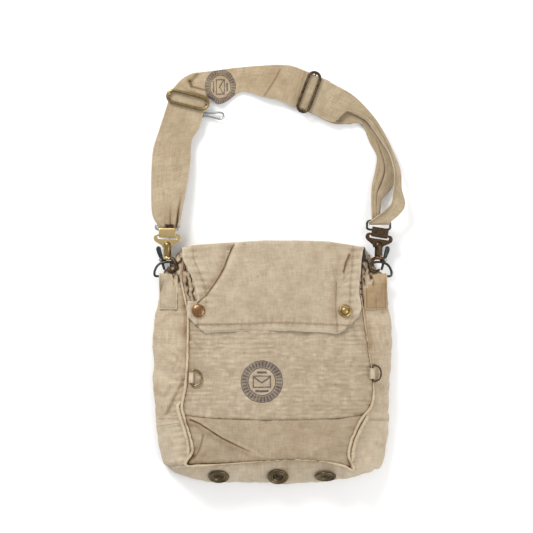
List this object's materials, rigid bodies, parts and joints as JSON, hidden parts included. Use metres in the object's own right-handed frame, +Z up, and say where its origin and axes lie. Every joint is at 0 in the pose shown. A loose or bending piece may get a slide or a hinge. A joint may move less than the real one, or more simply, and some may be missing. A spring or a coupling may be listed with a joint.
{
  "type": "canvas shoulder sack",
  "caption": "Flat canvas shoulder sack with a studded flap, bulging gussets with vents, D-rings, and a webbing sling on swivel snap hooks with oval sliders.",
  "frame": {"origin": "centre of the back panel's underside, on the floor the sack lies on", "axes": "+Z up out of the sack's front, +Y from its bottom to its mouth and along the sling, +X to the right as seen from above"},
  "size_m": [0.3073, 0.5048, 0.0461],
  "materials": {
    "canvas": "matt khaki cotton canvas",
    "binding": "matt tan cotton tape",
    "webbing": "matt khaki cotton webbing",
    "copper": "worn copper-coloured brass",
    "gold_brass": "worn bright brass",
    "brass": "tarnished brass",
    "bronze": "dark bronzed brass",
    "steel": "dull plated steel",
    "dark_steel": "darkened steel"
  },
  "bodies": {
    "sack": {"back_panel": "canvas", "front_panel": "canvas", "front_band": "canvas", "left_gusset": "canvas", "right_gusset": "canvas", "bottom_gusset": "canvas", "front_seam_binding": "binding", "back_seam_binding": "binding", "snap_stud_left": "brass", "snap_post_left": "brass", "snap_stud_right": "brass", "snap_post_right": "brass", "vent_grommet_1": "bronze", "vent_screen_1": "dark_steel", "vent_washer_1": "bronze", "vent_grommet_2": "bronze", "vent_screen_2": "dark_steel", "vent_washer_2": "bronze", "vent_grommet_3": "bronze", "vent_screen_3": "dark_steel", "vent_washer_3": "bronze", "small_ring_tab_left": "binding", "small_ring_tab_right": "binding", "ring_tab_left": "binding", "ring_tab_right": "binding"},
    "flap_gusset": {"flap_top": "canvas"},
    "flap": {"flap": "canvas", "snap_cap_left": "copper", "snap_socket_left": "brass", "snap_cap_right": "gold_brass", "snap_socket_right": "brass"},
    "d_ring_left": {"d_ring_left": "dark_steel"},
    "d_ring_right": {"d_ring_right": "dark_steel"},
    "small_ring_left": {"small_ring_left": "steel"},
    "small_ring_right": {"small_ring_right": "bronze"},
    "sling": {"strap_left_leg": "webbing", "strap_shoulder": "webbing", "strap_right_leg": "webbing", "swivel_head_left": "gold_brass", "link_plate_left": "brass", "strap_ring_left": "steel", "swivel_head_right": "bronze", "link_plate_right": "brass", "strap_ring_right": "steel"},
    "hook_left": {"snap_hook_left": "gold_brass", "lever_pin_left": "steel"},
    "hook_right": {"snap_hook_right": "bronze", "lever_pin_right": "steel"},
    "gate_left": {"hook_lever_left": "bronze"},
    "gate_right": {"hook_lever_right": "bronze"},
    "slider_left": {"strap_slider_left": "brass", "strap_end_left": "webbing", "wire_hook": "steel"},
    "slider_right": {"strap_slider_right": "brass", "strap_end_right": "webbing"}
  },
  "joints": [
    {"name": "gusset_fold", "type": "hinge", "parent": "sack", "child": "flap_gusset", "pos_m": [0, 0.1419, 0.0011], "axis": [-1, 0, 0], "range_deg": [0, 75]},
    {"name": "flap_fold", "type": "hinge", "parent": "flap_gusset", "child": "flap", "pos_m": [0, 0.142, 0.032], "axis": [-1, 0, 0], "range_deg": [0, 70]},
    {"name": "sling_swing", "type": "hinge", "parent": "sack", "child": "sling", "pos_m": [0, 0.103, 0.017], "axis": [1, 0, 0], "range_deg": [0, 90]},
    {"name": "d_ring_turn_left", "type": "hinge", "parent": "sack", "child": "d_ring_left", "pos_m": [-0.127, 0.103, 0.017], "axis": [1, 0, 0], "range_deg": [0, 90]},
    {"name": "d_ring_turn_right", "type": "hinge", "parent": "sack", "child": "d_ring_right", "pos_m": [0.127, 0.103, 0.017], "axis": [1, 0, 0], "range_deg": [0, 90]},
    {"name": "hook_swivel_left", "type": "hinge", "parent": "sling", "child": "hook_left", "pos_m": [-0.127, 0.136, 0.016], "axis": [0, -1, 0], "range_deg": [0, 25]},
    {"name": "gate_turn_left", "type": "hinge", "parent": "hook_left", "child": "gate_left", "pos_m": [-0.13376, 0.1225, 0.0121], "axis": [0.5, 0, -0.866], "range_deg": [0, 13], "stiffness_Nm_per_rad": 0.05, "springref_deg": -9.74},
    {"name": "hook_swivel_right", "type": "hinge", "parent": "sling", "child": "hook_right", "pos_m": [0.127, 0.136, 0.016], "axis": [0, 1, 0], "range_deg": [0, 25]},
    {"name": "gate_turn_right", "type": "hinge", "parent": "hook_right", "child": "gate_right", "pos_m": [0.13376, 0.1225, 0.0121], "axis": [0.5, 0, 0.866], "range_deg": [0, 13], "stiffness_Nm_per_rad": 0.05, "springref_deg": -9.74},
    {"name": "slider_travel_left", "type": "slide", "parent": "sling", "child": "slider_left", "axis": [0.242, 0.9703, 0], "range_m": [-0.015, 0.003]},
    {"name": "slider_travel_right", "type": "slide", "parent": "sling", "child": "slider_right", "axis": [-0.9338, 0.3577, 0], "range_m": [-0.012, 0.012]},
    {"name": "small_ring_turn_left", "type": "hinge", "parent": "sack", "child": "small_ring_left", "pos_m": [-0.097, -0.018, 0.03955], "axis": [0, -0.9982, 0.0594], "range_deg": [0, 150]},
    {"name": "small_ring_turn_right", "type": "hinge", "parent": "sack", "child": "small_ring_right", "pos_m": [0.119, -0.013, 0.03735], "axis": [0, -1, 0], "range_deg": [0, 130]}
  ],
  "couplings": [
    {"joint": "flap_fold", "follows": "gusset_fold", "ratio": 0.93333},
    {"joint": "d_ring_turn_left", "follows": "sling_swing", "ratio": 1},
    {"joint": "d_ring_turn_right", "follows": "sling_swing", "ratio": 1}
  ]
}
